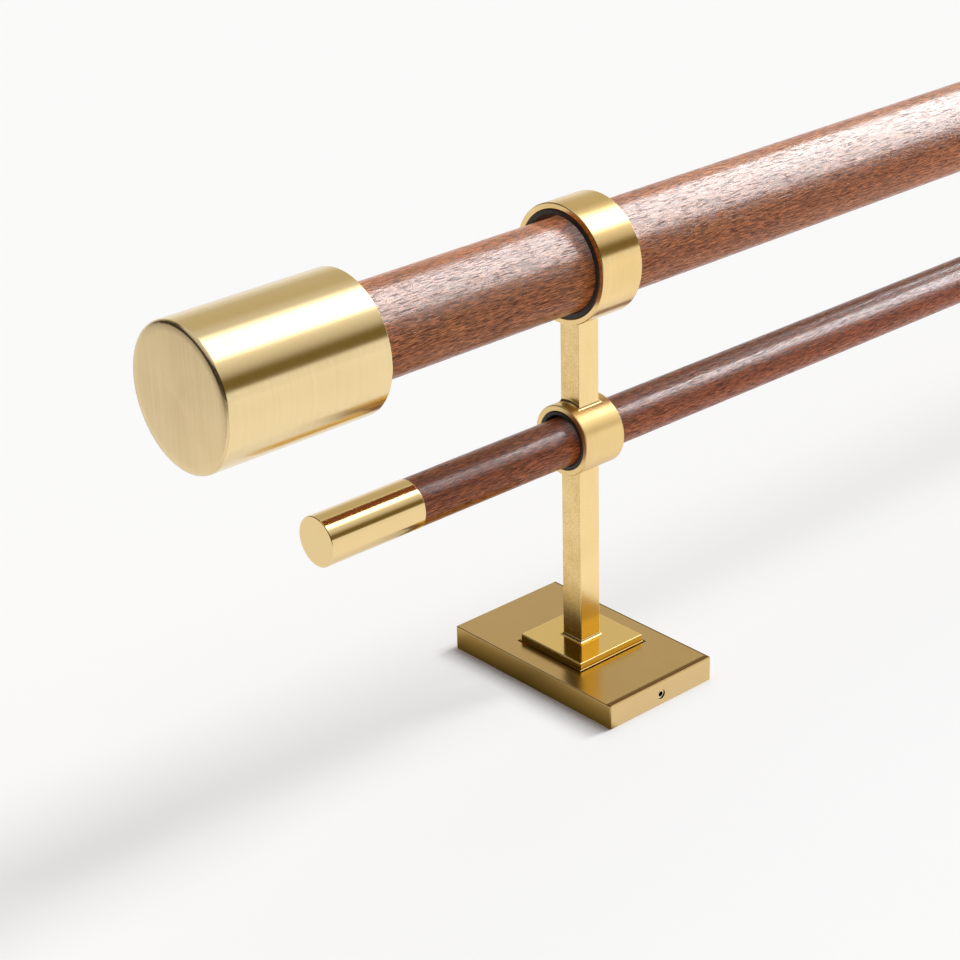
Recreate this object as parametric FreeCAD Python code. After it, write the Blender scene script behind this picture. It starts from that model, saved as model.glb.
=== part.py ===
# Double curtain pole: a thick front pole and a thin back pole of walnut, each capped in brass at both
# ends, carried side by side on two identical wall brackets.
#
# The bracket's wall side lies on z = 0, +Z points out from the wall into the room, and X runs along the
# poles. Once the pole is hung, -Y is down. The origin is midway between the brackets on the wall plane.

import FreeCAD, Part
import math
import os

from FreeCAD import Vector

os.makedirs("parts", exist_ok=True)

X = Vector(1, 0, 0)
Y = Vector(0, 1, 0)
Z = Vector(0, 0, 1)

# Set-out along the poles
bracket_spacing = 560.0
front_overhang = 192.0      # bracket axis to the outer end of the front pole's cap
back_overhang = 136.5       # bracket axis to the outer end of the back pole's cap

# Poles, and how far from the wall their rings stand
front_pole_dia = 38.1
back_pole_dia = 20.0
front_ring_height = 182.6
back_ring_height = 107.0

# Rings and their liners
ring_width = 21.0
ring_wall = 2.6
ring_edge = 0.5
front_liner_wall = 2.3
back_liner_wall = 1.75
liner_edge = 0.5
front_pole_play = 0.8       # radial room between the front pole and its liner
back_pole_play = 0.65       # radial room between the back pole and its liner
rest_gap = 0.05             # what is left of that room where the pole lies in its liner

# Front caps: turned drums with a blind bore
front_cap_length = 73.0
front_cap_wall = 9.15
front_cap_end = 9.0
front_cap_fit = 0.3
front_cap_edge = 1.6
front_cap_rim = 0.4
front_cap_mouth = 0.8

# Back caps: thin cups over a turned-down spigot, almost flush with the wood
back_cap_length = 45.5
back_cap_step = 0.2
back_cap_wall = 1.3
back_cap_end = 3.0
back_cap_fit = 0.1
back_cap_edge = 0.35
pole_end_gap = 0.5
pole_end_chamfer = 1.0

# Posts
post_size = 10.8
post_edge = 0.35
bead_radius = 1.6
bead_width = 1.1

# Foot plate, a square block with a narrow lip round its lower edge
foot_size = 36.0
foot_stand = 3.4            # how far the foot stands out of the cover
foot_edge = 0.45
foot_lip = 0.4
foot_lip_stand = 0.45
foot_lip_bevel = 0.2

# Base cover, an open-backed box with a shallow square pocket for the foot
cover_width = 58.4
cover_length = 94.0
cover_height = 10.6
cover_wall = 3.0
cover_skin = 3.6
cover_edge = 0.5
cover_corner = 0.6
cover_inner_corner = 2.0
pocket_depth = 1.6
pocket_gap = 0.8

# Wall plate, pressed from sheet, with a flange at each end
plate_sheet = 1.8
plate_side_gap = 6.2
plate_end_gap = 0.5
plate_top_gap = 0.6
plate_bend = 0.6            # inside radius of each bend
plate_corner = 2.5
wall_hole_dia = 5.2
wall_hole_spacing = 60.0
hook_width = 20.0
hook_reach = 1.4
hook_gap = 0.3

# Grub screw through the cover's lower end
set_screw_dia = 4.0
set_screw_height = 4.5
set_screw_recess = 0.4
set_screw_bite = 0.8
set_screw_hex = 2.0
set_screw_socket = 1.6
set_screw_tip_dia = 0.8
set_screw_cone = 1.4
set_screw_cone_fit = 0.1

# Button-head screw and washer that draw the foot and its post down on the cover
foot_screw_dia = 6.0
foot_screw_grip = 9.0       # thread length inside the post
foot_screw_head_dia = 10.5
foot_screw_head = 2.9
foot_screw_dome = 1.7       # radius that rounds the head's rim
foot_screw_hex = 4.0
foot_screw_socket = 1.8
foot_screw_clearance = 0.25
foot_screw_runout = 3.0     # tapped hole left past the screw's end
washer_dia = 12.0
washer_thickness = 1.2

# Grub screw that holds each front cap, on the wall side where it isn't seen
cap_screw_dia = 5.0
cap_screw_hex = 2.5
cap_screw_socket = 2.6
cap_screw_recess = 0.6
cap_screw_bite = 1.0
cap_screw_from_mouth = 16.0
cap_screw_spot = 0.1        # room round and under the screw's tip in the wood

thread_fit = 0.03
same_place = 1e-6           # closer than this, two places are one

# Worked out from the sizes above
front_pole_r = front_pole_dia / 2
back_pole_r = back_pole_dia / 2
front_bore_r = front_pole_r + front_pole_play
back_bore_r = back_pole_r + back_pole_play
front_pole_height = front_ring_height - front_pole_play + rest_gap
back_pole_height = back_ring_height - back_pole_play + rest_gap
front_ring_bore_r = front_bore_r + front_liner_wall
back_ring_bore_r = back_bore_r + back_liner_wall
front_ring_r = front_ring_bore_r + ring_wall
back_ring_r = back_ring_bore_r + ring_wall
pocket_floor = cover_height - pocket_depth
foot_top = cover_height + foot_stand
hollow_top = cover_height - cover_skin
plate_length = cover_length - 2 * cover_wall - 2 * plate_end_gap
plate_width = cover_width - 2 * cover_wall - 2 * plate_side_gap
flange_top = hollow_top - plate_top_gap
front_end = bracket_spacing / 2 + front_overhang
back_end = bracket_spacing / 2 + back_overhang
front_cap_mouth_x = front_end - front_cap_length
back_cap_mouth_x = back_end - back_cap_length
front_cap_r = front_pole_r + front_cap_fit + front_cap_wall
back_cap_r = back_pole_r + back_cap_step
cap_screw_x = front_cap_mouth_x + cap_screw_from_mouth
cap_screw_tip = front_pole_r - cap_screw_bite


def box(size_x, size_y, low_z, high_z, at_y=0.0):
    corner = Vector(-size_x / 2, at_y - size_y / 2, low_z)
    return Part.makeBox(size_x, size_y, high_z - low_z, corner)


def rod(radius, start, end):
    return Part.makeCylinder(radius, (end - start).Length, start, end - start)


def turned(outline, start, direction):
    """A solid turned from (distance along the axis, radius) points, closed along the axis."""
    away = direction.normalize()
    side = Z if abs(away.dot(Z)) < 0.5 else X
    points = [start + away * along + side * radius for along, radius in outline]
    face = Part.Face(Part.makePolygon(points + [points[0]]))
    return face.revolve(start, away, 360)


def edges_along(edges, direction):
    """The straight edges that run along this direction."""
    found = []
    for edge in edges:
        if len(edge.Vertexes) == 2 and isinstance(edge.Curve, Part.Line):
            run = edge.Vertexes[1].Point - edge.Vertexes[0].Point
            if abs(run.dot(direction)) > 0.999 * run.Length:
                found.append(edge)
    return found


def edges_at_height(solid, height):
    """Edges that lie wholly at one height."""
    level = [e for e in solid.Edges if abs(e.BoundBox.ZMin - height) < same_place]
    return [e for e in level if abs(e.BoundBox.ZMax - height) < same_place]


def rounded_box(size_x, size_y, low_z, high_z, corner, at_y=0.0):
    block = box(size_x, size_y, low_z, high_z, at_y)
    return block.makeFillet(corner, edges_along(block.Edges, Z))


def hex_socket(across_flats, mouth, direction, depth):
    """Hexagonal prism that cuts a key socket, from its mouth inwards."""
    away = direction.normalize()
    side = Z if abs(away.dot(Z)) < 0.5 else X
    other = away.cross(side)
    reach = across_flats / math.sqrt(3)
    turns = [math.radians(60 * k) for k in range(6)]
    points = [mouth + side * (reach * math.cos(t)) + other * (reach * math.sin(t)) for t in turns]
    face = Part.Face(Part.makePolygon(points + [points[0]]))
    return face.extrude(away * depth)


def ring(outer_r, bore_r, height, edge):
    """Band round a pole's axis at this height, its four rims rounded alike."""
    half = ring_width / 2
    band = rod(outer_r, Vector(-half, 0, height), Vector(half, 0, height))
    band = band.cut(rod(bore_r, Vector(-half, 0, height), Vector(half, 0, height)))
    rims = [e for e in band.Edges if isinstance(e.Curve, Part.Circle)]
    return band.makeFillet(edge, rims)


def brazed_foot(post, seat, level_box):
    """The post with its bead of braze, rounded in where it stands on a seat, cut clear of that seat."""
    joined = post.fuse(seat).removeSplitter()
    corner_edges = []
    for edge in joined.Edges:
        middle = edge.valueAt((edge.FirstParameter + edge.LastParameter) / 2)
        on_seat = seat.distToShape(Part.Vertex(middle))[0] < same_place
        on_post = post.distToShape(Part.Vertex(middle))[0] < same_place
        if on_seat and on_post:
            corner_edges.append(edge)
    beaded = joined.makeFillet(bead_radius, corner_edges)
    return beaded.cut(seat).common(level_box)


def lower_post():
    """Square bar from the foot to the back ring: beaded at its foot, coped to the ring, tapped below."""
    bar = box(post_size, post_size, foot_top, back_ring_height)
    seat = box(foot_size, foot_size, foot_top - foot_stand, foot_top)
    reach = post_size + 2 * bead_width
    post = brazed_foot(bar, seat, box(reach, reach, foot_top, back_ring_height))
    half = ring_width / 2
    ring_round = rod(back_ring_r, Vector(-half, 0, back_ring_height), Vector(half, 0, back_ring_height))
    post = post.cut(ring_round)
    post = post.makeFillet(post_edge, edges_along(post.Edges, Z))
    tapped = rod(foot_screw_dia / 2 + thread_fit, Vector(0, 0, foot_top),
                 Vector(0, 0, foot_top + foot_screw_grip + foot_screw_runout))
    return post.cut(tapped)


def upper_post():
    """Square bar between the rings: beaded where it stands on the back ring, coped to the front ring."""
    bar = box(post_size, post_size, back_ring_height, front_ring_height)
    half = ring_width / 2
    lower_round = rod(back_ring_r, Vector(-half, 0, back_ring_height), Vector(half, 0, back_ring_height))
    upper_round = rod(front_ring_r, Vector(-half, 0, front_ring_height), Vector(half, 0, front_ring_height))
    reach = post_size + 2 * bead_width
    post = brazed_foot(bar, lower_round, box(reach, reach, back_ring_height, front_ring_height))
    post = post.cut(upper_round)
    return post.makeFillet(post_edge, edges_along(post.Edges, Z))


def foot_plate():
    """Square block in the cover's pocket, with a narrow lip where it leaves the pocket."""
    block = box(foot_size, foot_size, pocket_floor, foot_top)
    block = block.makeFillet(foot_edge, edges_along(block.Edges, Z) + edges_at_height(block, foot_top))
    lip_size = foot_size + 2 * foot_lip
    lip = rounded_box(lip_size, lip_size, pocket_floor, cover_height + foot_lip_stand, foot_edge)
    top_rim = edges_at_height(lip, cover_height + foot_lip_stand)
    lip = lip.makeChamfer(foot_lip_bevel, top_rim)
    hole = rod(foot_screw_dia / 2 + foot_screw_clearance, Vector(0, 0, pocket_floor), Vector(0, 0, foot_top))
    return block.fuse(lip).removeSplitter().cut(hole)


def base_cover():
    """Open-backed box over the wall plate."""
    shell = rounded_box(cover_width, cover_length, 0, cover_height, cover_corner)
    shell = shell.makeFillet(cover_edge, edges_at_height(shell, cover_height))
    inner_x = cover_width - 2 * cover_wall
    inner_y = cover_length - 2 * cover_wall
    shell = shell.cut(rounded_box(inner_x, inner_y, 0, hollow_top, cover_inner_corner))
    pocket_size = foot_size + 2 * (foot_lip + pocket_gap)
    shell = shell.cut(box(pocket_size, pocket_size, pocket_floor, cover_height))
    shell = shell.cut(rod(foot_screw_dia / 2 + foot_screw_clearance, Vector(0, 0, 0), Z * cover_height))
    screw_hole = rod(set_screw_dia / 2 + thread_fit, Vector(0, -cover_length / 2, set_screw_height),
                     Vector(0, -inner_y / 2, set_screw_height))
    shell = shell.cut(screw_hole)
    return shell.cut(hook(hook_gap))


def hook(room):
    """Lip on the wall plate's upper flange, or with room round it the slot that takes it."""
    flange_face = plate_length / 2
    tip = flange_face + plate_end_gap + hook_reach + room
    low = flange_top - plate_sheet - room
    high = flange_top + room
    return box(hook_width + 2 * room, tip - flange_face, low, high, (flange_face + tip) / 2)


def wall_plate():
    """Sheet strip with both ends bent out, two wall screw holes, a hook above and a grub screw seat below."""
    outside = box(plate_width, plate_length, 0, flange_top)
    outer_bends = edges_along(edges_at_height(outside, 0), X)
    outside = outside.makeFillet(plate_bend + plate_sheet, outer_bends)
    inside = box(plate_width, plate_length - 2 * plate_sheet, plate_sheet, flange_top)
    inner_bends = edges_along(edges_at_height(inside, plate_sheet), X)
    channel = outside.cut(inside.makeFillet(plate_bend, inner_bends))
    flange_corners = edges_along(edges_at_height(channel, flange_top), Y)
    channel = channel.makeFillet(plate_corner, flange_corners)
    holes = [rod(wall_hole_dia / 2, Vector(0, y, 0), Vector(0, y, plate_sheet))
             for y in (-wall_hole_spacing / 2, wall_hole_spacing / 2)]
    for hole in holes:
        channel = channel.cut(hole)
    channel = channel.fuse(hook(0.0)).removeSplitter()
    return channel.cut(set_screw_cone_shape(set_screw_cone_fit))


def set_screw_tip():
    """Where the grub screw's cone ends, past the flange's outer face."""
    return -plate_length / 2 + set_screw_bite


def set_screw_cone_shape(room):
    """Cone point of the grub screw, or with room round it the seat that it bites into."""
    radius = set_screw_dia / 2
    tip_r = set_screw_tip_dia / 2
    start = Vector(0, set_screw_tip() - set_screw_cone, set_screw_height)
    outline = [(0, 0), (0, radius + room), (set_screw_cone, tip_r + room), (set_screw_cone + room, 0)]
    if room == 0:
        outline = outline[:3] + [(set_screw_cone, 0)]
    return turned(outline, start, Vector(0, 1, 0))


def cover_set_screw():
    """Grub screw with a hexagon socket and a cone point."""
    outer = -cover_length / 2 + set_screw_recess
    body = rod(set_screw_dia / 2, Vector(0, outer, set_screw_height),
               Vector(0, set_screw_tip() - set_screw_cone, set_screw_height))
    body = body.fuse(set_screw_cone_shape(0)).removeSplitter()
    socket = hex_socket(set_screw_hex, Vector(0, outer, set_screw_height), Vector(0, 1, 0), set_screw_socket)
    return body.cut(socket)


def foot_washer():
    washer = rod(washer_dia / 2, Z * (hollow_top - washer_thickness), Z * hollow_top)
    return washer.cut(rod(foot_screw_dia / 2 + foot_screw_clearance, Vector(0, 0, 0), Z * hollow_top))


def foot_screw():
    """Button-head screw, its domed head towards the wall."""
    seat = hollow_top - washer_thickness
    shank = rod(foot_screw_dia / 2, Z * seat, Z * (foot_top + foot_screw_grip))
    head = rod(foot_screw_head_dia / 2, Z * (seat - foot_screw_head), Z * seat)
    head = head.makeFillet(foot_screw_dome, edges_at_height(head, seat - foot_screw_head))
    socket = hex_socket(foot_screw_hex, Z * (seat - foot_screw_head), Vector(0, 0, 1), foot_screw_socket)
    return shank.fuse(head).removeSplitter().cut(socket)


def bracket_pieces():
    return {
        "wall_plate": wall_plate(),
        "base_cover": base_cover(),
        "foot_plate": foot_plate(),
        "lower_post": lower_post(),
        "back_ring": ring(back_ring_r, back_ring_bore_r, back_ring_height, ring_edge),
        "back_ring_liner": ring(back_ring_bore_r, back_bore_r, back_ring_height, liner_edge),
        "upper_post": upper_post(),
        "front_ring": ring(front_ring_r, front_ring_bore_r, front_ring_height, ring_edge),
        "front_ring_liner": ring(front_ring_bore_r, front_bore_r, front_ring_height, liner_edge),
    }


def front_cap():
    """Cap of the +X end: a drum with a rolled outer rim and a blind bore for the pole."""
    depth = front_cap_length - front_cap_end
    bore_r = front_pole_r + front_cap_fit
    axis = Vector(front_cap_mouth_x, 0, front_pole_height)
    drum = rod(front_cap_r, axis, axis + X * front_cap_length)
    outer_rim = [e for e in drum.Edges if abs(e.BoundBox.XMin - front_end) < same_place]
    drum = drum.makeFillet(front_cap_edge, outer_rim)
    inner_rim = [e for e in drum.Edges if abs(e.BoundBox.XMax - front_cap_mouth_x) < same_place]
    drum = drum.makeFillet(front_cap_rim, inner_rim)
    bore = turned([(0, 0), (0, bore_r + front_cap_mouth), (front_cap_mouth, bore_r), (depth, bore_r),
                   (depth, 0)], axis, Vector(1, 0, 0))
    drum = drum.cut(bore)
    hole = rod(cap_screw_dia / 2 + thread_fit, Vector(cap_screw_x, 0, front_pole_height - front_cap_r),
               Vector(cap_screw_x, 0, front_pole_height))
    return drum.cut(hole)


def cap_screw():
    """Grub screw of the +X cap: a hexagon socket, and a flat point set in a spot drilled in the wood."""
    low = front_pole_height - front_cap_r + cap_screw_recess
    mouth = Vector(cap_screw_x, 0, low)
    body = rod(cap_screw_dia / 2, mouth, Vector(cap_screw_x, 0, front_pole_height - cap_screw_tip))
    return body.cut(hex_socket(cap_screw_hex, mouth, Vector(0, 0, 1), cap_screw_socket))


def front_pole():
    """Round pole with a small chamfer at each end and a drilled spot for each cap's screw."""
    half = front_end - front_cap_end - pole_end_gap
    end_r = front_pole_r - pole_end_chamfer
    outline = [(0, 0), (0, end_r), (pole_end_chamfer, front_pole_r),
               (2 * half - pole_end_chamfer, front_pole_r), (2 * half, end_r), (2 * half, 0)]
    pole = turned(outline, Vector(-half, 0, front_pole_height), Vector(1, 0, 0))
    for x in (-cap_screw_x, cap_screw_x):
        spot = rod(cap_screw_dia / 2 + cap_screw_spot, Vector(x, 0, front_pole_height - front_pole_r),
                   Vector(x, 0, front_pole_height - cap_screw_tip + cap_screw_spot))
        pole = pole.cut(spot)
    return pole


def back_cap():
    """Cap of the +X end: a thin cup that ends almost flush with the wood."""
    depth = back_cap_length - back_cap_end
    axis = Vector(back_cap_mouth_x, 0, back_pole_height)
    cup = rod(back_cap_r, axis, axis + X * back_cap_length)
    rims = [e for e in cup.Edges if isinstance(e.Curve, Part.Circle)]
    cup = cup.makeFillet(back_cap_edge, rims)
    return cup.cut(rod(back_cap_r - back_cap_wall, axis, axis + X * depth))


def back_pole():
    """Round pole turned down at each end to a spigot for its cap."""
    half = back_end - back_cap_end - pole_end_gap
    shoulder = half - (back_cap_mouth_x - back_cap_fit)
    spigot_r = back_cap_r - back_cap_wall - back_cap_fit
    end_r = spigot_r - pole_end_chamfer
    near = [(0, 0), (0, end_r), (pole_end_chamfer, spigot_r), (shoulder, spigot_r), (shoulder, back_pole_r)]
    far = [(2 * half - along, radius) for along, radius in reversed(near)]
    return turned(near + far, Vector(-half, 0, back_pole_height), Vector(1, 0, 0))


def moved(shape, x):
    copy = shape.copy()
    copy.translate(X * x)
    return copy


def mirrored(shape):
    """The same piece at the other end, across the plane midway between the brackets."""
    return shape.mirror(Vector(0, 0, 0), X)


def export(name, shapes):
    solids = [solid for shape in shapes for solid in shape.Solids]
    whole = solids[0] if len(solids) == 1 else Part.makeCompound(solids)
    whole.exportStep("parts/" + name + ".step")


sides = {"left": -bracket_spacing / 2, "right": bracket_spacing / 2}
pieces = bracket_pieces()
for side, x in sides.items():
    for name, piece in pieces.items():
        export(side + "_" + name, [moved(piece, x)])

export("cover_set_screws", [moved(cover_set_screw(), x) for x in sides.values()])
export("foot_screws", [moved(foot_screw(), x) for x in sides.values()])
export("foot_screw_washers", [moved(foot_washer(), x) for x in sides.values()])

export("front_pole", [front_pole()])
export("back_pole", [back_pole()])
for name, cap in (("front_pole_cap", front_cap()), ("back_pole_cap", back_cap())):
    export("right_" + name, [cap])
    export("left_" + name, [mirrored(cap)])
export("cap_set_screws", [cap_screw(), mirrored(cap_screw())])
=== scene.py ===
import bpy, bmesh, math
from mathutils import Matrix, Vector


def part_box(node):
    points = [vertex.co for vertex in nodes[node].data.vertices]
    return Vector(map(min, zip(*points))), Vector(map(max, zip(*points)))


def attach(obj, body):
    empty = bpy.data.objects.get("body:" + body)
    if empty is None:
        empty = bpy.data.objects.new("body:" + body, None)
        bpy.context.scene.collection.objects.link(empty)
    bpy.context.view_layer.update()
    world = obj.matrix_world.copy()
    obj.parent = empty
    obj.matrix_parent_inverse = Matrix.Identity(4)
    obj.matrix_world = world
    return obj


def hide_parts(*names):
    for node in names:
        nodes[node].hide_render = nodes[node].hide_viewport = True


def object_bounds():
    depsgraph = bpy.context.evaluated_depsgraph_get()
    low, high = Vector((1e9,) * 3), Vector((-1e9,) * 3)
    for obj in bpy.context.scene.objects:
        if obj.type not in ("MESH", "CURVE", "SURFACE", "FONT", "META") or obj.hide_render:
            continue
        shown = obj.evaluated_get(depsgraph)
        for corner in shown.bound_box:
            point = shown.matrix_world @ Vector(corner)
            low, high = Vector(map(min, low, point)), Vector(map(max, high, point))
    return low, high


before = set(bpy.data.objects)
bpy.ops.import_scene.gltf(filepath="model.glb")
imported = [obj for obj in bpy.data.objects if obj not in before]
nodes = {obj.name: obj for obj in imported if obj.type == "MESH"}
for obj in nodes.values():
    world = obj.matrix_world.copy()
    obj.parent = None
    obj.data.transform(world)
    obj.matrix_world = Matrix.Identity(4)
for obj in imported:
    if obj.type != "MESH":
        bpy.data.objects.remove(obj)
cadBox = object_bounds()
print("frame loaded:", len(nodes), "pieces")

sides = ("left", "right")


# Shader building

def addNode(tree, kind, inputs=None, **settings):
    node = tree.nodes.new(kind)
    for name, value in settings.items():
        setattr(node, name, value)
    for name, value in (inputs or {}).items():
        if isinstance(value, bpy.types.NodeSocket):
            tree.links.new(value, node.inputs[name])
        else:
            node.inputs[name].default_value = value
    return node


def newGroup(name, inputs, outputs):
    # inputs are {name: default}, outputs are {name: socket type}
    tree = bpy.data.node_groups.new(name, "ShaderNodeTree")
    for label, default in inputs.items():
        kind = "NodeSocketFloat"
        if isinstance(default, tuple):
            kind = "NodeSocketColor" if len(default) == 4 else "NodeSocketVector"
        tree.interface.new_socket(label, in_out="INPUT", socket_type=kind).default_value = default
    for label, kind in outputs.items():
        tree.interface.new_socket(label, in_out="OUTPUT", socket_type=kind)
    return tree, tree.nodes.new("NodeGroupInput").outputs, tree.nodes.new("NodeGroupOutput").inputs


def stretchedNoise(tree, stretch, detail=2.0, roughness=0.5, shift=0.0, bend=0.0):
    # noise drawn out along one direction, because its stretch is small there
    place = addNode(tree, "ShaderNodeTexCoord").outputs["Object"]
    scaled = addNode(tree, "ShaderNodeVectorMath", {0: place, 1: stretch}, operation="MULTIPLY")
    moved = addNode(tree, "ShaderNodeVectorMath", {0: scaled.outputs[0], 1: (shift, shift, shift)},
                    operation="ADD")
    noise = addNode(tree, "ShaderNodeTexNoise", {"Vector": moved.outputs[0], "Scale": 1.0, "Detail": detail,
                                                 "Roughness": roughness, "Distortion": bend})
    return noise.outputs["Fac"]


def remap(tree, value, low, high, newLow=0.0, newHigh=1.0, smooth=False):
    kind = "SMOOTHSTEP" if smooth else "LINEAR"
    return addNode(tree, "ShaderNodeMapRange", {"Value": value, "From Min": low, "From Max": high,
                                                "To Min": newLow, "To Max": newHigh},
                   interpolation_type=kind).outputs["Result"]


def mixColour(tree, factor, first, second, blend="MIX"):
    node = addNode(tree, "ShaderNodeMix", {"Factor": factor}, data_type="RGBA", blend_type=blend,
                   clamp_factor=False)
    for socket, value in ((node.inputs[6], first), (node.inputs[7], second)):
        if isinstance(value, bpy.types.NodeSocket):
            tree.links.new(value, socket)
        else:
            socket.default_value = value
    return node.outputs[2]


def mixValue(tree, factor, first, second):
    return addNode(tree, "ShaderNodeMix", {0: factor, 2: first, 3: second}, data_type="FLOAT").outputs[0]


def calc(tree, operation, first, second, clamp=False):
    node = addNode(tree, "ShaderNodeMath", {0: first, 1: second}, operation=operation, use_clamp=clamp)
    return node.outputs[0]


def length(tree, first, second):
    squares = calc(tree, "ADD", calc(tree, "POWER", first, 2.0), calc(tree, "POWER", second, 2.0))
    return calc(tree, "SQRT", squares, 0.0)


def objectPlace(tree):
    place = addNode(tree, "ShaderNodeTexCoord").outputs["Object"]
    return addNode(tree, "ShaderNodeSeparateXYZ", {0: place}).outputs


def makeBrushedGroup():
    # fine lines left by an abrasive belt, over slow clouds of lacquer and polish, with a fine speckle
    tree, given, result = newGroup(
        "brushedLines",
        {"Base": (0.8, 0.6, 0.3, 1.0), "Shade": (0.6, 0.42, 0.16, 1.0), "Stretch": (900.0, 12.0, 12.0),
         "Lines": 0.3, "Clouds": 0.2, "Speckle": 0.1, "Rough": 0.2, "Rough spread": 0.05},
        {"Color": "NodeSocketColor", "Roughness": "NodeSocketFloat", "Height": "NodeSocketFloat"})
    fine = stretchedNoise(tree, given["Stretch"], detail=3.0, roughness=0.65)
    slow = stretchedNoise(tree, (42.0, 42.0, 42.0), detail=4.0, roughness=0.6, shift=7.3)
    grit = stretchedNoise(tree, (1700.0, 1700.0, 1700.0), detail=2.0, roughness=0.5, shift=2.9)
    lineTone = calc(tree, "MULTIPLY", remap(tree, fine, 0.3, 0.75), given["Lines"])
    cloudTone = calc(tree, "MULTIPLY", remap(tree, slow, 0.38, 0.66), given["Clouds"])
    gritTone = calc(tree, "MULTIPLY", remap(tree, grit, 0.42, 0.66), given["Speckle"])
    tone = calc(tree, "ADD", calc(tree, "ADD", lineTone, cloudTone), gritTone, clamp=True)
    tree.links.new(mixColour(tree, tone, given["Base"], given["Shade"]), result["Color"])
    blotch = calc(tree, "ADD", calc(tree, "MULTIPLY", fine, 0.5), calc(tree, "MULTIPLY", slow, 0.5))
    spread = calc(tree, "MULTIPLY", remap(tree, blotch, 0.35, 0.65, -1.0, 1.0), given["Rough spread"])
    tree.links.new(calc(tree, "ADD", given["Rough"], spread), result["Roughness"])
    relief = calc(tree, "ADD", fine, calc(tree, "MULTIPLY", grit, given["Speckle"]))
    tree.links.new(relief, result["Height"])
    return tree


def makeGrainGroup():
    # walnut sawn along X: slow colour bands, fibres, short open pores and the grit that sanding leaves
    tree, given, result = newGroup(
        "walnutGrain",
        {"Pale": (0.45, 0.2, 0.11, 1.0), "Mid": (0.3, 0.12, 0.065, 1.0), "Dark": (0.12, 0.045, 0.025, 1.0),
         "Pore share": 0.3, "Rough": 0.38, "Lacquer": 0.8},
        {"Color": "NodeSocketColor", "Roughness": "NodeSocketFloat", "Lacquer": "NodeSocketFloat",
         "Height": "NodeSocketFloat"})
    bands = stretchedNoise(tree, (4.0, 110.0, 110.0), detail=4.0, roughness=0.55, bend=0.3)
    fibres = stretchedNoise(tree, (75.0, 1700.0, 1700.0), detail=3.0, roughness=0.65, shift=3.1)
    pores = stretchedNoise(tree, (200.0, 2300.0, 2300.0), detail=2.0, roughness=0.6, shift=11.7)
    figure = stretchedNoise(tree, (14.0, 55.0, 55.0), detail=2.0, roughness=0.5, shift=5.9)
    cells = stretchedNoise(tree, (240.0, 1900.0, 1900.0), detail=2.0, roughness=0.6, shift=8.3)
    flecks = stretchedNoise(tree, (250.0, 2700.0, 2700.0), detail=2.0, roughness=0.6, shift=15.1)
    crease = remap(tree, calc(tree, "ABSOLUTE", calc(tree, "SUBTRACT", cells, 0.5), 0.0), 0.0, 0.05, 1.0, 0.0)
    body = mixColour(tree, remap(tree, bands, 0.34, 0.66), given["Mid"], given["Pale"])
    body = mixColour(tree, remap(tree, fibres, 0.42, 0.8, 0.0, 0.5), body, given["Dark"])
    body = mixColour(tree, remap(tree, figure, 0.5, 0.75, 0.0, 0.25), body, given["Dark"])
    body = mixColour(tree, 1.0, body, remap(tree, flecks, 0.36, 0.66, 0.35, 1.8), "MULTIPLY")
    poreLimit = calc(tree, "SUBTRACT", 0.82, calc(tree, "MULTIPLY", given["Pore share"], 0.5))
    poreMask = remap(tree, calc(tree, "SUBTRACT", pores, poreLimit), -0.02, 0.05, smooth=True)
    marks = calc(tree, "MAXIMUM", calc(tree, "MULTIPLY", poreMask, 0.85), calc(tree, "MULTIPLY", crease, 0.4))
    tree.links.new(mixColour(tree, marks, body, given["Dark"]), result["Color"])
    roughLines = remap(tree, fibres, 0.3, 0.7, -0.04, 0.04)
    rough = calc(tree, "ADD", calc(tree, "ADD", given["Rough"], roughLines),
                 calc(tree, "MULTIPLY", poreMask, 0.25))
    tree.links.new(rough, result["Roughness"])
    covered = calc(tree, "SUBTRACT", remap(tree, fibres, 0.42, 0.75, 1.0, 0.6),
                   calc(tree, "MULTIPLY", marks, 0.8))
    tree.links.new(calc(tree, "MULTIPLY", covered, given["Lacquer"], clamp=True), result["Lacquer"])
    fuzz = calc(tree, "ADD", calc(tree, "MULTIPLY", fibres, 0.3), calc(tree, "MULTIPLY", cells, 0.5))
    sunk = calc(tree, "ADD", calc(tree, "MULTIPLY", poreMask, 0.3), calc(tree, "MULTIPLY", crease, 0.25))
    tree.links.new(calc(tree, "SUBTRACT", fuzz, sunk), result["Height"])
    return tree


brushedGroup = makeBrushedGroup()
grainGroup = makeGrainGroup()


def newMaterial(name):
    material = bpy.data.materials.new(name)
    material.use_nodes = True
    tree = material.node_tree
    return material, tree, tree.nodes["Principled BSDF"]


def useGroup(tree, group, values):
    node = addNode(tree, "ShaderNodeGroup", node_tree=group)
    for label, value in values.items():
        node.inputs[label].default_value = value
    return node.outputs


def bumpOn(tree, shader, height, depth):
    bump = addNode(tree, "ShaderNodeBump", {"Height": height, "Distance": depth, "Strength": 1.0})
    tree.links.new(bump.outputs["Normal"], shader.inputs["Normal"])
    tree.links.new(bump.outputs["Normal"], shader.inputs["Coat Normal"])


def brushed(tree, look):
    made = useGroup(tree, brushedGroup, {
        "Base": (*look["base"], 1.0), "Shade": (*look["shade"], 1.0), "Stretch": look["stretch"],
        "Lines": look["lines"], "Clouds": look["clouds"], "Speckle": look["speckle"],
        "Rough": look["rough"], "Rough spread": look["spread"]})
    return made["Color"], made["Roughness"], made["Height"]


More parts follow.
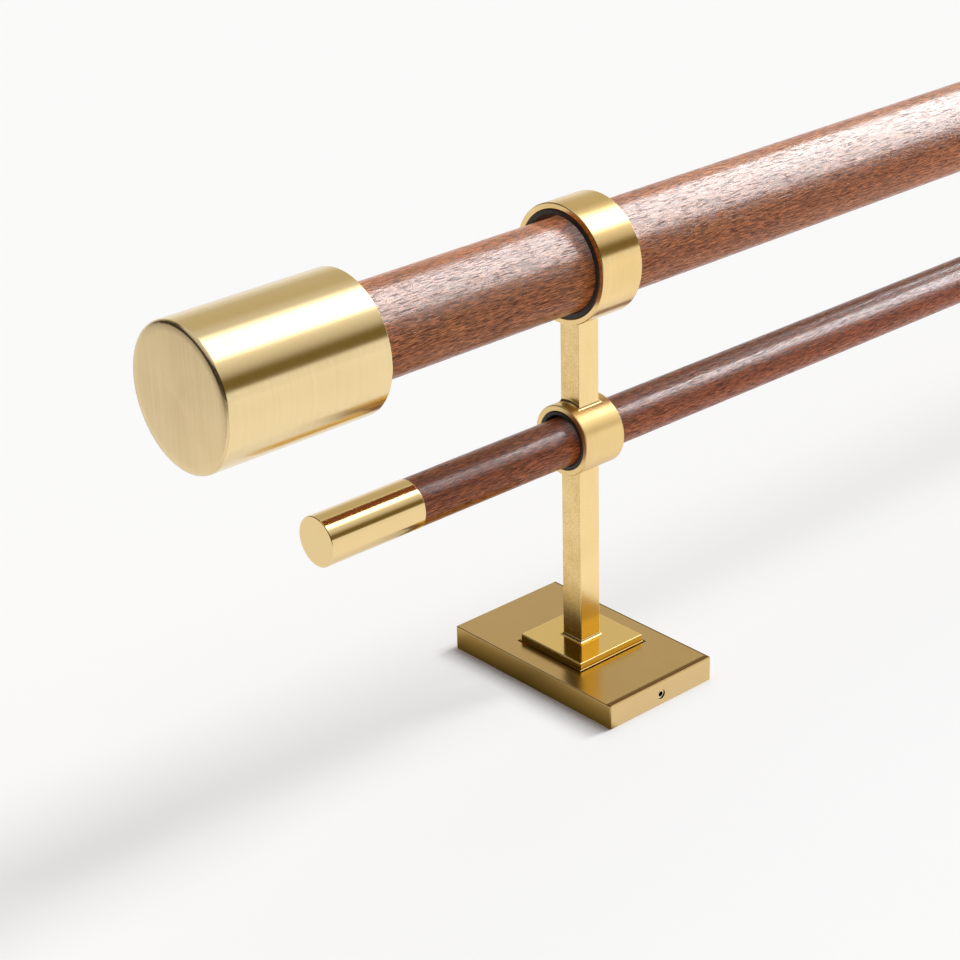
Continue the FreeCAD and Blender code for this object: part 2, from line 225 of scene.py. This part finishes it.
finishStep = 0.00005  # width of the change from one finish to the next, in metres
quarterTurn = 0.25  # the shader counts its anisotropic rotation in whole turns
# the set screws' holes and key sockets get painted shade in black
setScrew = {"centre": 0.28, "height": 0.0045, "holeRadius": 0.00206, "socketRadius": 0.00118,
            "softEdge": 1.03, "darkTo": -0.042, "clearFrom": -0.0415, "black": (0.012, 0.009, 0.006, 1.0)}
# how the darker colour just inside the covers' top rim fades in
patinaFade = {"spread": 1.6, "below": 0.0002, "above": 0.00005}


def metal(name, look, holeShadeRadius=None):
    # the last argument is the radius of painted shade: black in the covers' holes round the set screws, and in
    # the screws' key sockets
    material, tree, shader = newMaterial(name)
    colour, rough, height = brushed(tree, look)
    if "outer" in look:
        # the faces furthest out along X are finished another way
        outerColour, outerRough, outerHeight = brushed(tree, {**look, **look["outer"]})
        if "roll" in look:
            outerHeight = calc(tree, "SUBTRACT", outerHeight, rolledEdge(tree, look["depth"], **look["roll"]))
        edge = look["outerFrom"]
        outside = remap(tree, calc(tree, "ABSOLUTE", objectPlace(tree)["X"], 0.0), edge - finishStep, edge)
        colour = mixColour(tree, outside, colour, outerColour)
        rough = mixValue(tree, outside, rough, outerRough)
        height = mixValue(tree, outside, height, outerHeight)
    if "rim" in look:
        colour = mixColour(tree, rimBandMask(tree, **look["rim"]), colour, (*look["patina"], 1.0))
    if holeShadeRadius:
        colour = mixColour(tree, screwHoleShadeMask(tree, holeShadeRadius), colour, setScrew["black"])
    tree.links.new(colour, shader.inputs["Base Color"])
    tree.links.new(rough, shader.inputs["Roughness"])
    shader.inputs["Metallic"].default_value = 1.0
    if "spin" in look:
        # brushed round the pole: the highlight is drawn out along X and stays crisp round the curve
        shader.inputs["Anisotropic"].default_value = look["spin"]
        shader.inputs["Anisotropic Rotation"].default_value = quarterTurn
        around = addNode(tree, "ShaderNodeTangent", direction_type="RADIAL", axis="X")
        tree.links.new(around.outputs["Tangent"], shader.inputs["Tangent"])
    bumpOn(tree, shader, height, look["depth"])
    return material


def rolledEdge(tree, depth, height, start, width, drop):
    # how far a round face has been rubbed down towards its rim, in units of the bump's depth
    place = objectPlace(tree)
    radius = length(tree, place["Y"], calc(tree, "SUBTRACT", place["Z"], height))
    part = calc(tree, "MAXIMUM", calc(tree, "DIVIDE", calc(tree, "SUBTRACT", radius, start), width), 0.0)
    return calc(tree, "MULTIPLY", calc(tree, "POWER", part, 2.0), drop / depth)


# painted shade: black inside the screw hole and the key socket, only on the lower end face
def screwHoleShadeMask(tree, radius):
    place = objectPlace(tree)
    across = calc(tree, "SUBTRACT", calc(tree, "ABSOLUTE", place["X"], 0.0), setScrew["centre"])
    along = calc(tree, "SUBTRACT", place["Z"], setScrew["height"])
    distance = length(tree, across, along)
    near = remap(tree, distance, radius, radius * setScrew["softEdge"], 1.0, 0.0)
    return calc(tree, "MULTIPLY", near,
                remap(tree, place["Y"], setScrew["darkTo"], setScrew["clearFrom"], 1.0, 0.0))


def rimBandMask(tree, centre, halfWide, halfLong, top, endBand, sideBand):
    # a darker colour on the top face just inside its rim, at the lower end and the inner side only
    place = objectPlace(tree)
    across = calc(tree, "SUBTRACT", centre, calc(tree, "ABSOLUTE", place["X"], 0.0))
    along = calc(tree, "MULTIPLY", place["Y"], -1.0)
    spread = patinaFade["spread"]
    nearEnd = remap(tree, along, halfLong - endBand * spread, halfLong - endBand, smooth=True)
    nearSide = remap(tree, across, halfWide - sideBand * spread, halfWide - sideBand, smooth=True)
    return calc(tree, "MULTIPLY", calc(tree, "MAXIMUM", nearEnd, nearSide),
                remap(tree, place["Z"], top - patinaFade["below"], top - patinaFade["above"]))


def walnut(name, look):
    material, tree, shader = newMaterial(name)
    grain = useGroup(tree, grainGroup, {"Pale": (*look["pale"], 1.0), "Mid": (*look["mid"], 1.0),
                                        "Dark": (*look["dark"], 1.0), "Pore share": look["pores"],
                                        "Rough": look["rough"], "Lacquer": look["lacquer"]})
    tree.links.new(grain["Color"], shader.inputs["Base Color"])
    tree.links.new(grain["Roughness"], shader.inputs["Roughness"])
    tree.links.new(grain["Lacquer"], shader.inputs["Coat Weight"])
    shader.inputs["Coat Roughness"].default_value = look["lacquerRough"]
    shader.inputs["Specular IOR Level"].default_value = look["shine"]
    shader.inputs["Sheen Weight"].default_value = look["veil"]
    shader.inputs["Sheen Roughness"].default_value = 0.4
    bumpOn(tree, shader, grain["Height"], look["depth"])
    return material


metalLooks = {
    "capBrass": {"base": (0.84, 0.66, 0.365), "shade": (0.75, 0.56, 0.265), "stretch": (1500.0, 14.0, 14.0),
                 "lines": 0.2, "clouds": 0.15, "speckle": 0.1, "rough": 0.18, "spread": 0.03,
                 "depth": 0.000004, "spin": 0.6, "outerFrom": 0.4714,
                 "outer": {"base": (0.84, 0.645, 0.36), "shade": (0.73, 0.54, 0.275),
                           "stretch": (20.0, 1100.0, 18.0), "lines": 0.45, "clouds": 0.3, "rough": 0.24},
                 "roll": {"height": 0.18185, "start": 0.0242, "width": 0.0027, "drop": 0.00022}},
    "polishedBrass": {"base": (0.82, 0.615, 0.31), "shade": (0.74, 0.53, 0.225),
                      "stretch": (1500.0, 20.0, 20.0), "lines": 0.15, "clouds": 0.1, "speckle": 0.05,
                      "rough": 0.13, "spread": 0.01, "depth": 0.0000001, "spin": 0.3},
    "ringBrass": {"base": (0.89, 0.65, 0.31), "shade": (0.78, 0.53, 0.2), "stretch": (1300.0, 60.0, 60.0),
                  "lines": 0.2, "clouds": 0.3, "speckle": 0.15, "rough": 0.2, "spread": 0.04,
                  "depth": 0.000006, "spin": 0.5},
    "smallRingBrass": {"base": (0.9, 0.66, 0.31), "shade": (0.8, 0.56, 0.22), "stretch": (1300.0, 60.0, 60.0),
                       "lines": 0.2, "clouds": 0.3, "speckle": 0.15, "rough": 0.38, "spread": 0.05,
                       "depth": 0.000006, "spin": 0.2},
    "postBrass": {"base": (0.93, 0.69, 0.34), "shade": (0.78, 0.55, 0.22), "stretch": (420.0, 420.0, 60.0),
                  "lines": 0.15, "clouds": 0.2, "speckle": 0.1, "rough": 0.19, "spread": 0.03,
                  "depth": 0.000003, "outerFrom": 0.28535,
                  "outer": {"shade": (0.6, 0.4, 0.13), "stretch": (500.0, 500.0, 150.0), "lines": 0.2,
                            "clouds": 0.4, "speckle": 0.42, "rough": 0.25}},
    "brightBrass": {"base": (1.0, 0.735, 0.31), "shade": (0.9, 0.64, 0.24), "stretch": (900.0, 20.0, 900.0),
                    "lines": 0.15, "clouds": 0.15, "speckle": 0.05, "rough": 0.13, "spread": 0.03,
                    "depth": 0.000002},
    "coverBrass": {"base": (0.7, 0.5, 0.24), "shade": (0.58, 0.39, 0.16), "stretch": (1100.0, 16.0, 900.0),
                   "lines": 0.15, "clouds": 0.12, "speckle": 0.1, "rough": 0.23, "spread": 0.03,
                   "depth": 0.000001, "patina": (0.22, 0.12, 0.03),
                   "rim": {"centre": 0.28, "halfWide": 0.0292, "halfLong": 0.047, "top": 0.0106,
                           "endBand": 0.002, "sideBand": 0.0008}},
    "screwBrass": {"base": (0.85, 0.68, 0.4), "shade": (0.6, 0.42, 0.2), "stretch": (400.0, 400.0, 400.0),
                   "lines": 0.3, "clouds": 0.2, "speckle": 0.2, "rough": 0.2, "spread": 0.05,
                   "depth": 0.000004},
    "zinc": {"base": (0.62, 0.63, 0.64), "shade": (0.5, 0.51, 0.53), "stretch": (60.0, 60.0, 60.0),
             "lines": 0.6, "clouds": 0.3, "speckle": 0.3, "rough": 0.38, "spread": 0.08, "depth": 0.00001},
}
woodLooks = {
    "frontWalnut": {"pale": (0.66, 0.235, 0.08), "mid": (0.54, 0.16, 0.045), "dark": (0.14, 0.034, 0.01),
                    "pores": 0.54, "rough": 0.3, "depth": 0.00006, "shine": 0.05, "lacquer": 0.56,
                    "lacquerRough": 0.08, "veil": 0.02},
    # the back pole's walnut is a darker copy of the front's: partly the wood's own tone, partly painted shade,
    # as the front pole shades it
    "backWalnutToneAndShade": {"pale": (0.54, 0.15, 0.042), "mid": (0.41, 0.095, 0.024), "dark": (0.11, 0.022, 0.007),
                   "pores": 0.52, "rough": 0.3, "depth": 0.00004, "shine": 0.05, "lacquer": 0.56,
                   "lacquerRough": 0.08, "veil": 0.01},
}

finish = {
    "capBrass": metal("cap_brass", metalLooks["capBrass"]),
    "polishedBrass": metal("polished_brass", metalLooks["polishedBrass"]),
    "ringBrass": metal("brushed_brass", metalLooks["ringBrass"]),
    "smallRingBrass": metal("brushed_brass_small_ring", metalLooks["smallRingBrass"]),
    "postBrass": metal("post_brass", metalLooks["postBrass"]),
    "brightBrass": metal("bright_brass", metalLooks["brightBrass"]),
    "coverBrass": metal("antique_brass", metalLooks["coverBrass"], setScrew["holeRadius"]),
    "setScrewBrass": metal("screw_brass", metalLooks["screwBrass"], setScrew["socketRadius"]),
    "zinc": metal("zinc_steel", metalLooks["zinc"]),
    "frontWalnut": walnut("walnut_front", woodLooks["frontWalnut"]),
    "backWalnutToneAndShade": walnut("walnut_back", woodLooks["backWalnutToneAndShade"]),
}


rubberLook = {"dark": (0.022, 0.021, 0.022, 1.0), "bloom": (0.04, 0.039, 0.042, 1.0),
              "speckle": (700.0, 700.0, 700.0), "smooth": 0.42, "rough": 0.6, "depth": 0.00003}


def makeRubber():
    material, tree, shader = newMaterial("black_rubber")
    speckle = stretchedNoise(tree, rubberLook["speckle"], detail=3.0)
    bloom = mixColour(tree, remap(tree, speckle, 0.35, 0.75), rubberLook["dark"], rubberLook["bloom"])
    tree.links.new(bloom, shader.inputs["Base Color"])
    tree.links.new(remap(tree, speckle, 0.3, 0.7, rubberLook["smooth"], rubberLook["rough"]),
                   shader.inputs["Roughness"])
    bumpOn(tree, shader, speckle, rubberLook["depth"])
    return material


finish["rubber"] = makeRubber()

nodeFinish = {"wall_plate": "zinc", "base_cover": "coverBrass", "foot_plate": "brightBrass",
              "lower_post": "postBrass", "upper_post": "postBrass", "back_ring": "smallRingBrass",
              "front_ring": "ringBrass", "back_ring_liner": "rubber", "front_ring_liner": "rubber",
              "front_pole_cap": "capBrass", "back_pole_cap": "polishedBrass"}
sharedFinish = {"cover_set_screws": "setScrewBrass", "foot_screws": "zinc", "foot_screw_washers": "zinc",
                "cap_set_screws": "setScrewBrass", "front_pole": "frontWalnut", "back_pole": "backWalnutToneAndShade"}
for side in sides:
    for part, look in nodeFinish.items():
        nodes[side + "_" + part].data.materials[0] = finish[look]
for part, look in sharedFinish.items():
    nodes[part].data.materials[0] = finish[look]
print("finishes assigned")


# Poles

poles = {"steps": 144, "chamfer": 0.001, "sharpFrom": 35.0, "mergeWithin": 0.000001}


def pieceFrom(bm, name, material, slot, *replaced):
    bmesh.ops.remove_doubles(bm, verts=bm.verts, dist=poles["mergeWithin"])
    bmesh.ops.recalc_face_normals(bm, faces=bm.faces)
    for face in bm.faces:
        face.smooth = True
    mesh = bpy.data.meshes.new(name)
    bm.to_mesh(mesh)
    bm.free()
    mesh.set_sharp_from_angle(angle=math.radians(poles["sharpFrom"]))
    mesh.materials.append(material)
    piece = bpy.data.objects.new(name, mesh)
    bpy.context.scene.collection.objects.link(piece)
    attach(piece, "root")
    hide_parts(*replaced)
    return piece


def turnedPiece(outline, height, steps):
    # spins (x, radius) points round the pole axis at this height
    bm = bmesh.new()
    corners = [bm.verts.new((x, 0.0, height + radius)) for x, radius in outline]
    edges = [bm.edges.new(pair) for pair in zip(corners, corners[1:])]
    bmesh.ops.spin(bm, geom=corners + edges, cent=(0.0, 0.0, height), axis=(1.0, 0.0, 0.0),
                   angle=math.tau, steps=steps, use_merge=True)
    return bm


def makePole(node, name, material, slot):
    # a plain round pole in the node's box: it has no spigots and no drilled spots for the caps' screws
    low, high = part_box(node)
    height = (low.z + high.z) / 2
    radius = (high.z - low.z) / 2
    end = radius - poles["chamfer"]
    outline = [(low.x, 0.0), (low.x, end), (low.x + poles["chamfer"], radius),
               (high.x - poles["chamfer"], radius), (high.x, end), (high.x, 0.0)]
    bm = turnedPiece(outline, height, poles["steps"])
    return pieceFrom(bm, name, material, slot, node)


woodPieces = {"front": makePole("front_pole", "walnut_front_pole", finish["frontWalnut"], "walnut_front"),
              "back": makePole("back_pole", "walnut_back_pole", finish["backWalnutToneAndShade"], "walnut_back")}
print("poles turned")


# Studio: pale floor, a soft key from the far end of the poles, lamps that light the wood or the small
# rings alone, and a sky of bright and dark bands. Its levels are set for the photo's view.

studio = {"floorSize": 30.0, "paper": (0.95, 0.95, 0.955, 1.0), "bounce": (0.42, 0.4, 0.38, 1.0),
          "backdropLevel": 0.948, "lift": 0.5, "rightLift": 0.76, "glossLift": 0.9, "frontPaintedLight": 1.12,
          "keyStrength": 2.6, "keyAngle": 15.0, "keyTowards": (0.764, -0.107, 0.636),
          "panelLevel": 2.8, "overheadLevel": 0.7, "backLight": 3.0, "darkSide": (0.04, 0.035, 0.027, 1.0),
          "dimSides": 0.05, "warmth": (1.35, 1.25, 0.45), "floorDrop": 0.0002}

# soft boxes that only the lacquered poles reflect
softBoxes = {"colour": (0.92, 0.97, 1.0),
             "front": {"strength": 16.6, "angle": 66.0, "towards": (0.78, -0.13, 0.612)},
             "back": {"strength": 12.4, "angle": 54.0, "towards": (0.9, -0.113, 0.421)}}
# a lamp for each pole, for the wood's own colour: it stands under the floor, which casts no shadow for it
woodFill = {"place": (0.2, -0.48, -0.2), "size": 0.3, "front": 2.6, "back": 2.4}
# lights the front pole's upper edge from behind
rimLight = {"strength": 2.0, "angle": 30.0, "towards": (0.2, 0.75, 0.63)}
# fills the dark band on the small rings
ringLight = {"strength": 0.17, "angle": 40.0, "towards": (0.65, -0.689, 0.321)}

# painted shadow on the paper beside the left foot, seen only by mirror rays: its brightness by distance from
# the foot in metres
footShade = [(0.0, (0.08, 0.065, 0.02)), (0.0035, (0.15, 0.12, 0.045)), (0.009, (0.27, 0.22, 0.1)),
             (0.0155, (0.55, 0.5, 0.36)), (0.022, (0.66, 0.61, 0.48)), (0.03, (0.82, 0.79, 0.72)),
             (0.05, (0.86, 0.85, 0.82)), (0.085, (1.0, 1.0, 1.0))]
footPlace = {"centre": -0.28, "side": 0.0292, "end": 0.047, "shadowSide": 0.008, "shadowReach": 0.035,
             "seenTo": 0.08, "goneFrom": 0.14, "contactFrom": 0.0014, "contactTo": 0.0105}
# where the paper changes: along x as the camera sees it, and along y as metal mirrors it, where the paper in
# front of the poles is painted brighter
paperPlace = {"left": -0.5, "right": -0.2, "nearPoles": -0.03, "inFront": -0.06}

# painted shade on the paper far to the left, seen only by mirror rays: its brightness by x in metres
farShade = [(-3.0, 0.12), (-1.3, 0.3), (-0.87, 0.6), (-0.837, 0.68), (-0.797, 0.76), (-0.758, 0.83),
            (-0.62, 1.0)]

# where the parts of the sky begin and end, as parts of a direction's X or Z, or degrees round the X axis
skyParts = {"end": (0.86, 0.95), "endLevel": 0.85, "low": (0.6, 0.45), "behindIn": (100, 112),
            "behindOut": (160, 148), "darkX": (0.25, -0.1), "darkZ": (-0.02, 0.06),
            "overhead": (0.72, 0.84), "overheadBlue": 1.05, "panelIn": (57, 65), "panelOut": (106, 92),
            "panelX": (0.3, 0.6)}

# brightness of the sky round the X axis, in degrees up from the front of the poles
skyBands = [(-180.0, (1.0, 1.0, 1.0)), (11.0, (1.0, 1.0, 1.0)), (14.5, (0.19, 0.14, 0.045)),
            (29.0, (0.19, 0.14, 0.045)), (39.0, (0.62, 0.59, 0.53)), (47.0, (0.8, 0.78, 0.74)),
            (58.0, (1.0, 0.98, 0.95)), (104.0, (0.95, 0.93, 0.88)), (120.0, (0.6, 0.55, 0.4)),
            (145.0, (0.62, 0.575, 0.44)), (155.0, (0.65, 0.61, 0.5)), (168.0, (0.85, 0.83, 0.8)),
            (180.0, (1.0, 1.0, 1.0))]


def greyRamp(tree, value, table):
    # table holds (value, level) pairs in rising order
    low, high = table[0][0], table[-1][0]
    ramp = addNode(tree, "ShaderNodeValToRGB", {0: remap(tree, value, low, high)})
    stops = ramp.color_ramp.elements
    for index, (place, level) in enumerate(table):
        position = (place - low) / (high - low)
        stop = stops[index] if index < 2 else stops.new(position)
        stop.position = position
        colour = level if isinstance(level, tuple) else (level, level, level)
        stop.color = (*colour, 1.0)
    return ramp.outputs[0]


def makeFloor():
    bm = bmesh.new()
    bmesh.ops.create_grid(bm, x_segments=1, y_segments=1, size=studio["floorSize"] / 2)
    bmesh.ops.translate(bm, verts=bm.verts, vec=(0.0, 0.0, cadBox[0].z - studio["floorDrop"]))
    mesh = bpy.data.meshes.new("floor")
    bm.to_mesh(mesh)
    bm.free()
    floor = bpy.data.objects.new("floor", mesh)
    bpy.context.scene.collection.objects.link(floor)
    material, tree, shader = newMaterial("floor_paper")
    shader.inputs["Roughness"].default_value = 1.0
    shader.inputs["Specular IOR Level"].default_value = 0.0
    light = addNode(tree, "ShaderNodeLightPath").outputs
    mirrored = calc(tree, "MAXIMUM", light["Is Glossy Ray"], light["Is Transmission Ray"])
    seen = calc(tree, "MAXIMUM", mirrored, light["Is Camera Ray"])
    spot = objectPlace(tree)
    # painted shadow: metal close by mirrors paper painted darker beside the left foot, on the side away from
    # the key; camera and diffuse rays see the paper without it
    leftward = calc(tree, "SUBTRACT", footPlace["centre"] - footPlace["side"], spot["X"])
    pastEnd = calc(tree, "SUBTRACT", calc(tree, "ABSOLUTE", spot["Y"], 0.0), footPlace["end"])
    reach = length(tree, calc(tree, "MAXIMUM", leftward, 0.0), calc(tree, "MAXIMUM", pastEnd, 0.0))
    offShadow = calc(tree, "ABSOLUTE", calc(tree, "SUBTRACT", spot["Y"], footPlace["shadowSide"]), 0.0)
    shade = mixColour(tree, 1.0, greyRamp(tree, reach, footShade),
                      remap(tree, offShadow, 0.0, footPlace["shadowReach"], 0.8, 1.2), "MULTIPLY")
    closeBy = calc(tree, "MULTIPLY", remap(tree, leftward, -0.006, 0.001, smooth=True),
                   remap(tree, light["Ray Length"], footPlace["seenTo"], footPlace["goneFrom"], 1.0, 0.0))
    paintedFootShadow = mixColour(tree, calc(tree, "MULTIPLY", mirrored, closeBy), (1.0, 1.0, 1.0, 1.0), shade)
    paper = mixColour(tree, seen, studio["bounce"], studio["paper"])
    dimmed = mixColour(tree, 1.0, paper, paintedFootShadow, "MULTIPLY")
    tree.links.new(dimmed, shader.inputs["Base Color"])
    # the camera sees the paper lifted towards white, except close to the left foot: its contact shadow
    fromCentre = calc(tree, "ABSOLUTE", calc(tree, "SUBTRACT", spot["X"], footPlace["centre"]), 0.0)
    pastSide = calc(tree, "SUBTRACT", fromCentre, footPlace["side"])
    clear = remap(tree, calc(tree, "MAXIMUM", pastSide, calc(tree, "MULTIPLY", pastEnd, 2.0)),
                  footPlace["contactFrom"], footPlace["contactTo"])
    # painted light: the lift grows towards the right, which pales the cast shadow there
    lift = remap(tree, spot["X"], paperPlace["left"], paperPlace["right"], studio["lift"], studio["rightLift"])
    lift = calc(tree, "MULTIPLY", calc(tree, "MULTIPLY", lift, clear), light["Is Camera Ray"])
    lift = calc(tree, "ADD", lift, calc(tree, "MULTIPLY", mirrored, studio["glossLift"]))
    # painted shade and light for mirror rays: the paper darker far to the left and brighter in front of the
    # poles
    around = calc(tree, "MULTIPLY", greyRamp(tree, spot["X"], farShade),
                  remap(tree, spot["Y"], paperPlace["nearPoles"], paperPlace["inFront"], 1.0,
                        studio["frontPaintedLight"]))
    level = calc(tree, "MULTIPLY", mixValue(tree, mirrored, 1.0, around), studio["backdropLevel"])
    glow = addNode(tree, "ShaderNodeEmission", {"Color": paintedFootShadow, "Strength": level})
    mixed = addNode(tree, "ShaderNodeMixShader", {0: lift, 1: shader.outputs[0], 2: glow.outputs[0]})
    tree.links.new(mixed.outputs[0], tree.nodes["Material Output"].inputs["Surface"])
    mesh.materials.append(material)


def grey(level):
    return (level, level, level, 1.0)


def between(tree, turn, rise, fall):
    # 1 between two soft edges round the X axis
    up, down = [[math.radians(angle) for angle in skyParts[name]] for name in (rise, fall)]
    return calc(tree, "MULTIPLY", remap(tree, turn, *up, smooth=True), remap(tree, turn, *down, smooth=True))


def makeSky():
    world = bpy.data.worlds.new("studio")
    bpy.context.scene.world = world
    world.use_nodes = True
    tree = world.node_tree
    direction = addNode(tree, "ShaderNodeTexCoord").outputs["Generated"]
    split = addNode(tree, "ShaderNodeSeparateXYZ", {0: direction}).outputs
    turn = calc(tree, "ARCTAN2", split["Z"], calc(tree, "MULTIPLY", split["Y"], -1.0))
    bands = greyRamp(tree, calc(tree, "MULTIPLY", turn, math.degrees(1.0)), skyBands)
    towardsEnd = remap(tree, split["X"], *skyParts["end"], smooth=True)
    sky = mixColour(tree, towardsEnd, bands, grey(skyParts["endLevel"]))
    # the low sky is there for reflections: matt surfaces get little light from it, and more from behind
    light = addNode(tree, "ShaderNodeLightPath").outputs
    low = remap(tree, split["Z"], *skyParts["low"], smooth=True)
    sky = mixColour(tree, calc(tree, "MULTIPLY", low, light["Is Diffuse Ray"]), sky,
                    grey(studio["dimSides"]), "MULTIPLY")
    behind = between(tree, turn, "behindIn", "behindOut")
    sky = mixColour(tree, calc(tree, "MULTIPLY", behind, light["Is Diffuse Ray"]), sky,
                    grey(studio["backLight"]), "MULTIPLY")
    towardsDark = calc(tree, "MULTIPLY", remap(tree, split["X"], *skyParts["darkX"], smooth=True),
                       remap(tree, split["Z"], *skyParts["darkZ"]))
    sky = mixColour(tree, towardsDark, sky, studio["darkSide"])
    overhead = studio["overheadLevel"]
    sky = mixColour(tree, remap(tree, split["Z"], *skyParts["overhead"], smooth=True), sky,
                    (overhead, overhead, overhead * skyParts["overheadBlue"], 1.0))
    # metal that mirrors other metal finds a warmer sky, without the panel
    again = calc(tree, "MULTIPLY", remap(tree, light["Glossy Depth"], 1.0, 2.0), light["Is Glossy Ray"])
    # soft panel over the far end of the poles, for highlights only
    panel = calc(tree, "MULTIPLY", between(tree, turn, "panelIn", "panelOut"),
                 remap(tree, split["X"], *skyParts["panelX"], smooth=True))
    once = calc(tree, "SUBTRACT", light["Is Glossy Ray"], again)
    panel = calc(tree, "MULTIPLY", calc(tree, "MULTIPLY", panel, once), studio["panelLevel"])
    sky = mixColour(tree, panel, sky, (1.0, 1.0, 1.0, 1.0), "ADD")
    sky = mixColour(tree, again, sky, (*studio["warmth"], 1.0), "MULTIPLY")
    shown = mixColour(tree, light["Is Camera Ray"], sky, (1.0, 1.0, 1.0, 1.0))
    background = tree.nodes["Background"]
    tree.links.new(shown, background.inputs["Color"])
    background.inputs["Strength"].default_value = 1.0


def makeSun(name, strength, angle, towards):
    lamp = bpy.data.lights.new(name, "SUN")
    lamp.energy = strength
    lamp.angle = math.radians(angle)
    sun = bpy.data.objects.new(name, lamp)
    sun.rotation_euler = Vector(towards).to_track_quat("Z", "Y").to_euler()
    bpy.context.scene.collection.objects.link(sun)
    return sun


def lightOnly(lamp, pieces, state="INCLUDE"):
    # the lamp lights these pieces alone, or all but these
    lit = bpy.data.collections.new(lamp.name + "_pieces")
    for index, piece in enumerate(pieces):
        lit.objects.link(piece)
        lit.collection_objects[index].light_linking.link_state = state
    lamp.light_linking.receiver_collection = lit


def makeLamps():
    key = makeSun("key", studio["keyStrength"], studio["keyAngle"], studio["keyTowards"])
    key.visible_glossy = False
    lightOnly(key, woodPieces.values(), "EXCLUDE")
    for side, piece in woodPieces.items():
        box = softBoxes[side]
        lamp = makeSun(side + "_soft_box", box["strength"], box["angle"], box["towards"])
        lamp.data.color = softBoxes["colour"]
        lamp.data.use_shadow = False
        lamp.visible_diffuse = False
        lightOnly(lamp, [piece])
        fill = bpy.data.objects.new(side + "_fill", bpy.data.lights.new(side + "_fill", "AREA"))
        fill.data.shape = "DISK"
        fill.data.size = woodFill["size"]
        fill.data.energy = woodFill[side]
        fill.data.use_shadow = False
        fill.location = woodFill["place"]
        fill.rotation_euler = Vector((0.0, -1.0, 0.0)).to_track_quat("Z", "Y").to_euler()
        fill.visible_glossy = False
        fill.visible_camera = False
        bpy.context.scene.collection.objects.link(fill)
        lightOnly(fill, [piece])
    rim = makeSun("rim_light", rimLight["strength"], rimLight["angle"], rimLight["towards"])
    rim.data.use_shadow = False
    lightOnly(rim, [woodPieces["front"]])
    ring = makeSun("ring_light", ringLight["strength"], ringLight["angle"], ringLight["towards"])
    lightOnly(ring, [nodes[side + "_back_ring"] for side in sides])


view = {"place": (-0.91168, -0.65937, 0.52401), "turn": (64.402, 1.39, -41.862), "lens": 92.823,
        "sensor": 36.0, "farthest": 60.0}


def makeCamera():
    camera = bpy.data.objects.new("camera", bpy.data.cameras.new("camera"))
    camera.location = view["place"]
    camera.rotation_euler = [math.radians(angle) for angle in view["turn"]]
    camera.data.lens = view["lens"]
    camera.data.sensor_width = view["sensor"]
    camera.data.clip_end = view["farthest"]
    bpy.context.scene.collection.objects.link(camera)
    bpy.context.scene.camera = camera


makeFloor()
makeSky()
makeLamps()
makeCamera()
bpy.context.scene.view_settings.view_transform = "Standard"
print("studio ready")
